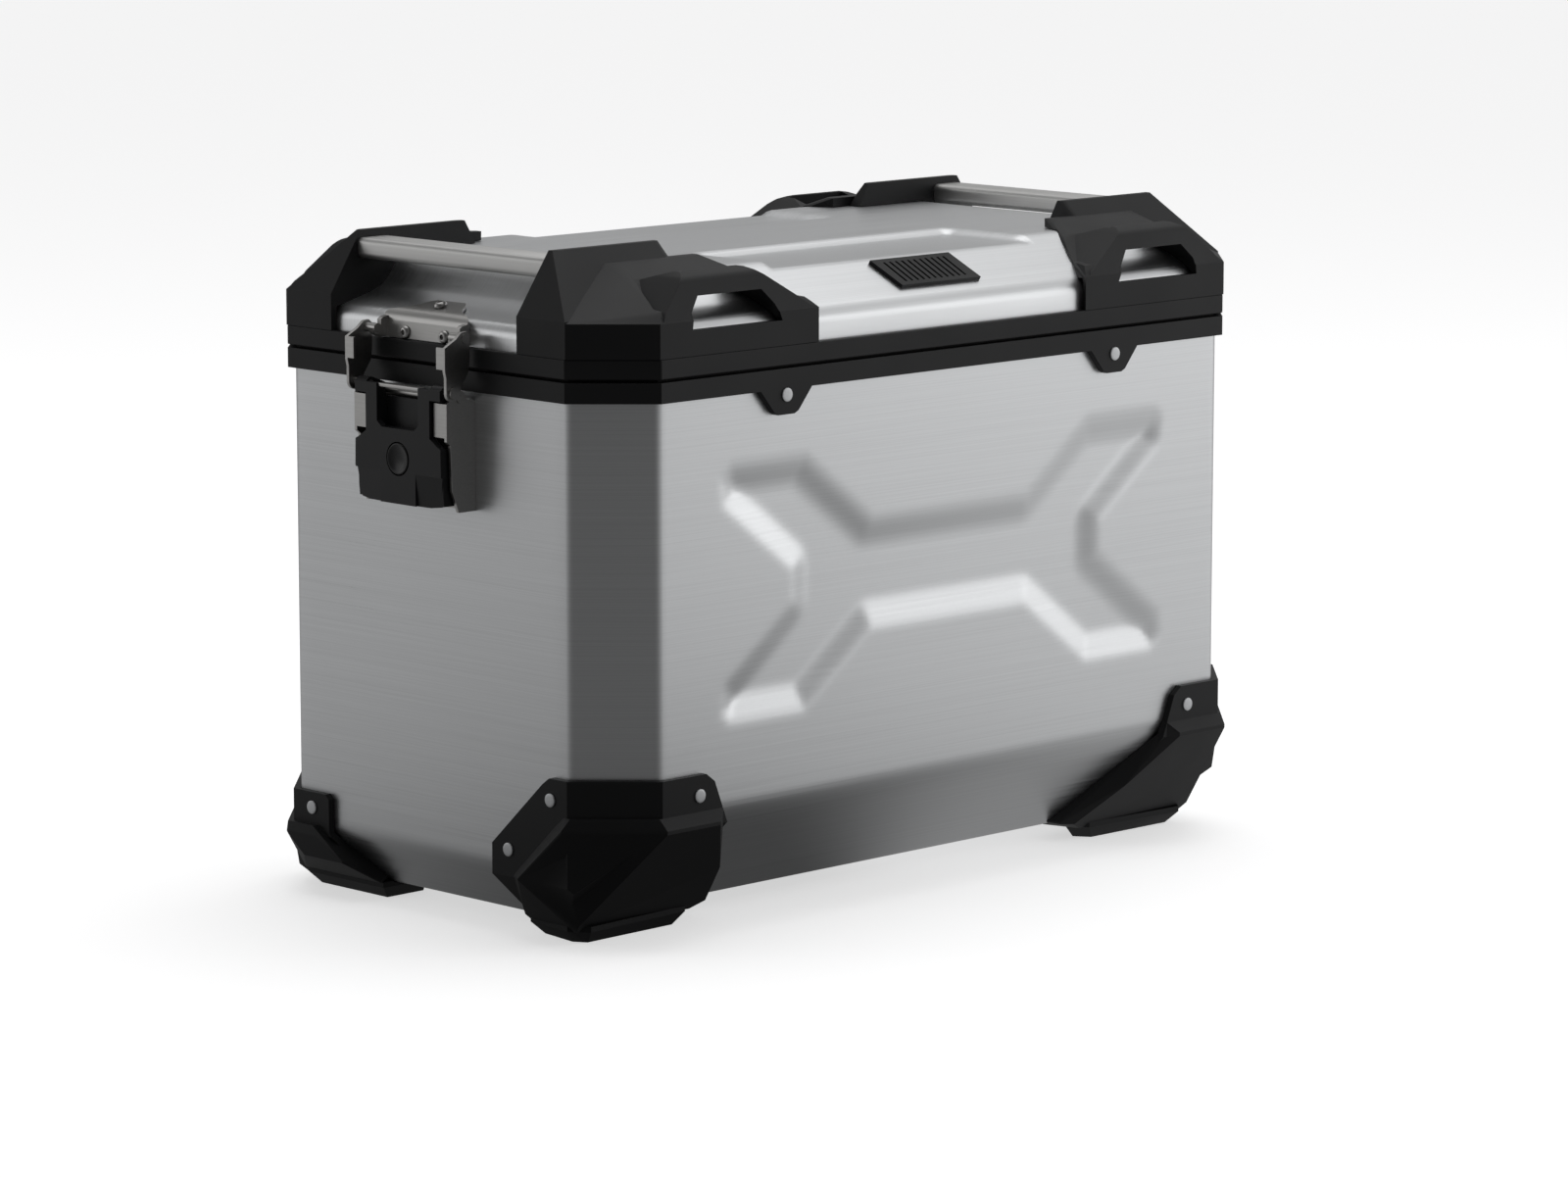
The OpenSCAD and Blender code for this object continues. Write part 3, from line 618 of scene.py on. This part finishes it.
def make_handles():
    """Flat bar with rounded long edges and slightly eased ends."""
    for side in ("l", "r"):
        lo, hi = (Vector(v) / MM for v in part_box("handle_" + side))
        cx, cz = (lo.x + hi.x) / 2, (lo.z + hi.z) / 2
        w, t = (hi.x - lo.x) / 2 - BAR_R, (hi.z - lo.z) / 2 - BAR_R
        section = []
        for quarter, (x, z) in enumerate(((w, t), (-w, t), (-w, -t), (w, -t))):
            for step in range(9):
                a = math.radians(quarter * 90 + step * 90 / 8)
                section.append((x + BAR_R * math.cos(a), z + BAR_R * math.sin(a)))
        rings = []
        for y, s in ((lo.y, 0.95), (lo.y + BAR_EASE, 1.0), (hi.y - BAR_EASE, 1.0),
                     (hi.y, 0.95)):
            rings.append([(cx + x * s, y, cz + z * s) for x, z in section])
        mesh = loft(rings, cap_first=True, cap_last=True)
        bm = bmesh.new()
        bm.from_mesh(mesh)
        bmesh.ops.recalc_face_normals(bm, faces=bm.faces)
        bm.to_mesh(mesh)
        bm.free()
        piece_from("handle_bar_" + side, [mesh], "handle_" + side, "handle_aluminium",
                   sharp=30)


# ---------------------------------------------------------------- build
make_tub()
make_lid()
make_rivets()
make_catch_screws()
make_lock_caps()
make_handles()

# width in millimetres and steps of each rounded edge
ROUNDED = {
    "body_rim": (1.3, 3), "lid_rim": (1.3, 3),
    "pad_fl": (1.4, 3), "pad_fr": (1.4, 3), "pad_rl": (1.4, 3), "pad_rr": (1.4, 3),
    "guard_fl": (1.5, 3), "guard_fr": (1.5, 3), "guard_rl": (1.5, 3), "guard_rr": (1.5, 3),
    "latch_base_l": (0.5, 2), "latch_base_r": (0.5, 2), "catch_l": (0.5, 2),
    "catch_r": (0.5, 2), "lever_l": (0.8, 3), "lever_r": (0.8, 3),
    "lever_strap_l": (0.4, 2), "lever_strap_r": (0.4, 2), "arm_fl": (0.45, 2),
    "arm_rl": (0.45, 2), "arm_fr": (0.45, 2), "arm_rr": (0.45, 2),
}
for node, (width, seg) in ROUNDED.items():
    finish_piece(soft_copy(node, width, seg), node, SLOT_OF[node], nodes=[node])

# nodes whose own mesh is shown
AS_THEY_ARE = ("lid_seal", "base_rivets", "pad_screws", "badge", "lever_pin", "arm_pins",
               "hook_pin")
for node, ob in NODES.items():
    if node.startswith(AS_THEY_ARE):
        ob.data.materials.clear()
        ob.data.materials.append(MATERIALS[SLOT_OF[node]])
        shade(ob, 30)

# ---------------------------------------------------------------- studio


def area(name, at, look, size, power):
    """Rectangular lamp at a place, turned to look at another."""
    light = bpy.data.lights.new(name, "AREA")
    light.shape = "RECTANGLE"
    light.size, light.size_y = size
    light.energy = power
    ob = bpy.data.objects.new(name, light)
    bpy.context.scene.collection.objects.link(ob)
    ob.location = at
    ob.rotation_euler = (Vector(look) - Vector(at)).to_track_quat("-Z", "Y").to_euler()


def lobes(nt, direction, base, parts):
    """Brightness by direction: a base and soft lobes of (direction, sharpness, amount)."""
    total = None
    for towards, sharpness, amount in parts:
        dot = nt.nodes.new("ShaderNodeVectorMath")
        dot.operation = "DOT_PRODUCT"
        dot.inputs[1].default_value = Vector(towards).normalized()
        nt.links.new(direction, dot.inputs[0])
        facing = nt.nodes.new("ShaderNodeMath")
        facing.operation = "MAXIMUM"
        facing.inputs[1].default_value = 0.0
        nt.links.new(dot.outputs["Value"], facing.inputs[0])
        shaped = nt.nodes.new("ShaderNodeMath")
        shaped.operation = "POWER"
        shaped.inputs[1].default_value = sharpness
        nt.links.new(facing.outputs[0], shaped.inputs[0])
        scaled = nt.nodes.new("ShaderNodeMath")
        scaled.operation = "MULTIPLY_ADD"
        scaled.inputs[1].default_value = amount
        scaled.inputs[2].default_value = base if total is None else 0.0
        nt.links.new(shaped.outputs[0], scaled.inputs[0])
        if total is not None:
            nt.links.new(total, scaled.inputs[2])
        total = scaled.outputs[0]
    return total


# each lobe: direction, sharpness, amount
ENVIRONMENT_BASE, FLOOR_PAINTED_GLOW_BASE = 0.07, 0.14
ENVIRONMENT = [((0.8, -0.6, 0.05), 2.0, 0.56), ((-0.6, 0.8, 0.0), 3.0, 0.40),
               ((0.5, 0.15, 0.85), 3.0, 0.74), ((0.7, 0.7, 0.1), 3.0, 0.12)]
# painted light: lobes of glow on the floor, seen only by rays from the case
FLOOR_PAINTED_GLOW = [((0.8, -0.6, 0), 2.0, 0.50), ((-0.6, 0.8, 0), 3.0, 0.26)]
FLOOR_HALF, FLOOR_LIFT = 8.0, 0.58
# the floor's painted glow grows from the first to the second share between these two
# distances: painted shade on the floor near the case, as the case reflects it
FLOOR_PAINTED_SHADE_REACH = (0.48, 1.05, 0.2, 0.7)
# name, place, looks at, size, watts
LAMPS = [("top_box", (0.3, 0.3, 2.4), (0, 0, 0.2), (2.6, 2.2), 16),
         ("right_box", (2.6, -1.8, 0.9), (0.1, -0.1, 0.2), (2.2, 1.8), 12),
         ("left_box", (-1.9, 2.3, 0.9), (-0.1, 0.1, 0.2), (1.8, 1.6), 6)]
CAMERA_AT = (-2.2942, -2.3386, 0.6799)
CAMERA_TURN, CAMERA_TILT, CAMERA_LENS = -44.626, 9.158, 135.65


def make_floor():
    """Pale floor for the camera; towards the case it is a dim glowing floor with painted
    light lobes and painted shade near the case, which is what the case reflects.
    """
    mesh = bpy.data.meshes.new("floor")
    s = FLOOR_HALF
    mesh.from_pydata([(-s, -s, 0), (s, -s, 0), (s, s, 0), (-s, s, 0)], [], [(0, 1, 2, 3)])
    floor = link("floor", mesh)
    m = bpy.data.materials.new("pale_floor")
    m.use_nodes = True
    nt = m.node_tree
    nt.nodes.clear()
    out = nt.nodes.new("ShaderNodeOutputMaterial")
    seen = nt.nodes.new("ShaderNodeAddShader")
    paint = nt.nodes.new("ShaderNodeBsdfDiffuse")
    paint.inputs["Color"].default_value = (0.9, 0.9, 0.905, 1)
    lift = nt.nodes.new("ShaderNodeEmission")
    lift.inputs["Color"].default_value = (1, 1, 1, 1)
    lift.inputs["Strength"].default_value = FLOOR_LIFT
    nt.links.new(paint.outputs[0], seen.inputs[0])
    nt.links.new(lift.outputs[0], seen.inputs[1])
    place = nt.nodes.new("ShaderNodeTexCoord")
    unit = nt.nodes.new("ShaderNodeVectorMath")
    unit.operation = "NORMALIZE"
    nt.links.new(place.outputs["Object"], unit.inputs[0])
    reach = nt.nodes.new("ShaderNodeVectorMath")
    reach.operation = "LENGTH"
    nt.links.new(place.outputs["Object"], reach.inputs[0])
    # painted light: seen from the case, the floor glows by the painted lobes, dimmed near the
    # case as painted shade
    painted_glow = nt.nodes.new("ShaderNodeEmission")
    painted_glow_strength = nt.nodes.new("ShaderNodeMath")
    painted_glow_strength.operation = "MULTIPLY"
    nt.links.new(lobes(nt, unit.outputs[0], FLOOR_PAINTED_GLOW_BASE, FLOOR_PAINTED_GLOW), painted_glow_strength.inputs[0])
    nt.links.new(remap(nt, reach.outputs["Value"], *FLOOR_PAINTED_SHADE_REACH), painted_glow_strength.inputs[1])
    nt.links.new(painted_glow_strength.outputs[0], painted_glow.inputs["Strength"])
    # camera rays see the pale floor, all other rays the painted glow
    mix = nt.nodes.new("ShaderNodeMixShader")
    ray = nt.nodes.new("ShaderNodeLightPath")
    nt.links.new(ray.outputs["Is Camera Ray"], mix.inputs[0])
    nt.links.new(painted_glow.outputs[0], mix.inputs[1])
    nt.links.new(seen.outputs[0], mix.inputs[2])
    nt.links.new(mix.outputs[0], out.inputs[0])
    mesh.materials.append(m)


def make_world():
    """White behind the case, and a soft uneven studio around it."""
    world = bpy.data.worlds.new("studio")
    bpy.context.scene.world = world
    world.use_nodes = True
    nt = world.node_tree
    nt.nodes.clear()
    out = nt.nodes.new("ShaderNodeOutputWorld")
    around = nt.nodes.new("ShaderNodeBackground")
    white = nt.nodes.new("ShaderNodeBackground")
    white.inputs[0].default_value = (1, 1, 1, 1)
    tc = nt.nodes.new("ShaderNodeTexCoord")
    nt.links.new(lobes(nt, tc.outputs["Generated"], ENVIRONMENT_BASE, ENVIRONMENT),
                 around.inputs[1])
    ray = nt.nodes.new("ShaderNodeLightPath")
    mix = nt.nodes.new("ShaderNodeMixShader")
    nt.links.new(ray.outputs["Is Camera Ray"], mix.inputs[0])
    nt.links.new(around.outputs[0], mix.inputs[1])
    nt.links.new(white.outputs[0], mix.inputs[2])
    nt.links.new(mix.outputs[0], out.inputs[0])


def studio():
    make_floor()
    make_world()
    for lamp in LAMPS:
        area(*lamp)

    scene = bpy.context.scene
    scene.view_settings.view_transform = "Standard"
    cam_data = bpy.data.cameras.new("camera")
    cam = bpy.data.objects.new("camera", cam_data)
    scene.collection.objects.link(cam)
    az, el = math.radians(CAMERA_TURN), math.radians(CAMERA_TILT)
    back = Vector((math.sin(az) * math.cos(el), -math.cos(az) * math.cos(el),
                   math.sin(el)))
    cam.location = CAMERA_AT
    cam.rotation_mode = "QUATERNION"
    cam.rotation_quaternion = (-back).to_track_quat("-Z", "Y")
    cam_data.sensor_width = 36.0
    cam_data.lens = CAMERA_LENS
    cam_data.clip_start, cam_data.clip_end = 0.05, 60.0
    scene.camera = cam


studio()
